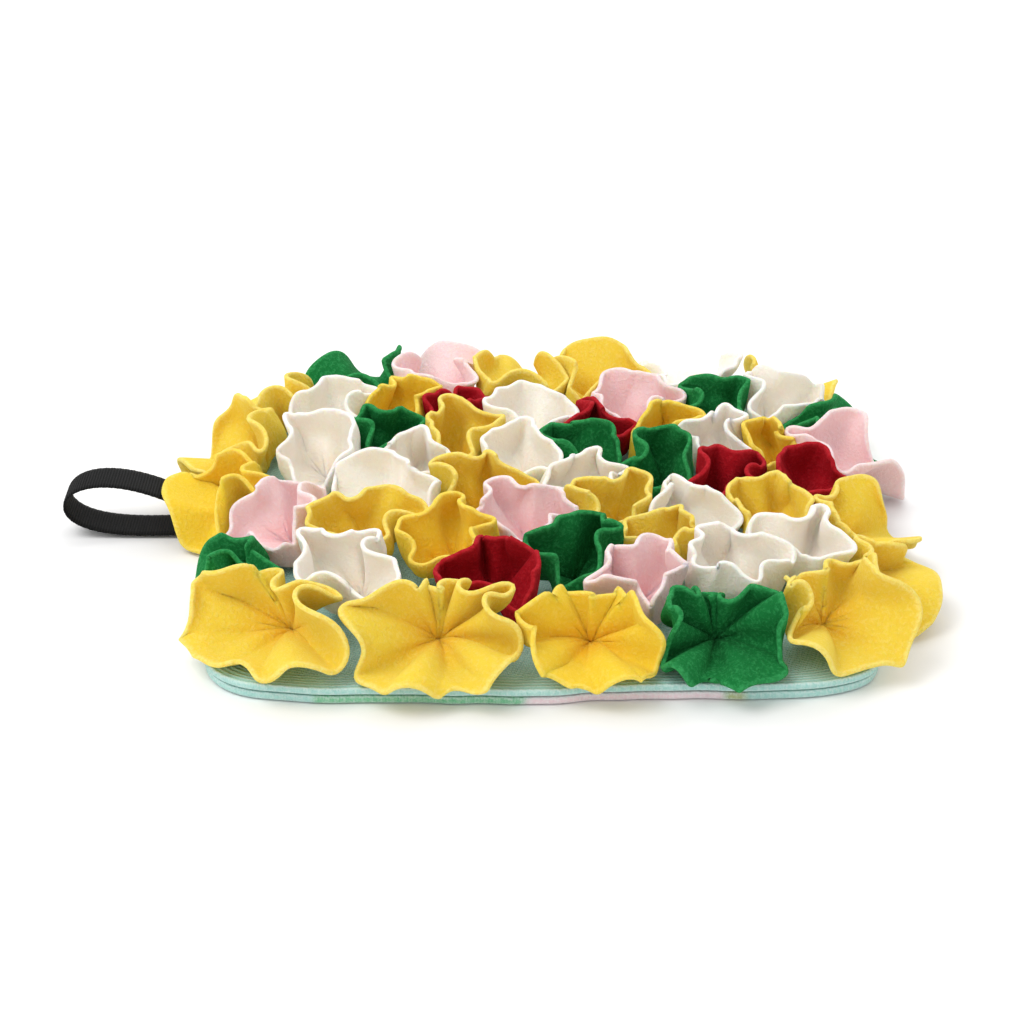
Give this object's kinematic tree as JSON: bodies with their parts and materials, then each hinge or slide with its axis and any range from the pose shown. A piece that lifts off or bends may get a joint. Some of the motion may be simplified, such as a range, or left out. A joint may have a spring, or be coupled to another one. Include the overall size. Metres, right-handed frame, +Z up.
{
  "type": "snuffle mat",
  "caption": "Square snuffle mat: gathered fleece rounds sewn as ruffled petals onto a two-layer terry pad, with a black webbing hanging loop.",
  "frame": {"origin": "middle of the pad's underside, on the surface the mat lies on", "axes": "+Z up, -Y towards the front edge, the webbing loop points along -X"},
  "size_m": [0.4076, 0.3265, 0.0459],
  "materials": {
    "fleece_yellow": "soft napped fleece",
    "fleece_amber": "soft napped fleece",
    "fleece_white": "soft napped fleece",
    "fleece_pink": "soft napped fleece",
    "fleece_green": "soft napped fleece",
    "fleece_red": "soft napped fleece",
    "terry_aqua": "fine terry knit",
    "terry_mixed": "fine terry knit",
    "webbing_black": "ribbed grosgrain webbing"
  },
  "bodies": {
    "root": {"base_bottom": "terry_mixed", "base_top": "terry_aqua", "loop": "webbing_black", "round_01_yellow": "fleece_yellow", "round_02_yellow": "fleece_yellow", "round_03_amber": "fleece_amber", "round_04_green": "fleece_green", "round_05_yellow": "fleece_yellow", "round_06_green": "fleece_green", "round_07_white": "fleece_white", "round_08_red": "fleece_red", "round_09_pink": "fleece_pink", "round_10_white": "fleece_white", "round_11_white": "fleece_white", "round_12_yellow": "fleece_yellow", "round_13_pink": "fleece_pink", "round_14_yellow": "fleece_yellow", "round_15_amber": "fleece_amber", "round_16_green": "fleece_green", "round_17_pink": "fleece_pink", "round_18_yellow": "fleece_yellow", "round_19_yellow": "fleece_yellow", "round_20_white": "fleece_white", "round_21_yellow": "fleece_yellow", "round_22_amber": "fleece_amber", "round_23_white": "fleece_white", "round_24_yellow": "fleece_yellow", "round_25_white": "fleece_white", "round_26_red": "fleece_red", "round_27_yellow": "fleece_yellow", "round_28_red": "fleece_red", "round_29_yellow": "fleece_yellow", "round_30_white": "fleece_white", "round_31_green": "fleece_green", "round_32_white": "fleece_white", "round_33_yellow": "fleece_yellow", "round_34_white": "fleece_white", "round_35_green": "fleece_green", "round_36_red": "fleece_red", "round_37_green": "fleece_green", "round_38_amber": "fleece_amber", "round_39_white": "fleece_white", "round_40_amber": "fleece_amber", "round_41_pink": "fleece_pink", "round_42_green": "fleece_green", "round_43_yellow": "fleece_yellow", "round_44_white": "fleece_white", "round_45_amber": "fleece_amber", "round_46_red": "fleece_red", "round_47_white": "fleece_white", "round_48_pink": "fleece_pink", "round_49_green": "fleece_green", "round_50_white": "fleece_white", "round_51_green": "fleece_green", "round_52_pink": "fleece_pink", "round_53_yellow": "fleece_yellow", "round_54_yellow": "fleece_yellow", "round_55_white": "fleece_white", "round_56_yellow": "fleece_yellow"}
  },
  "joints": []
}
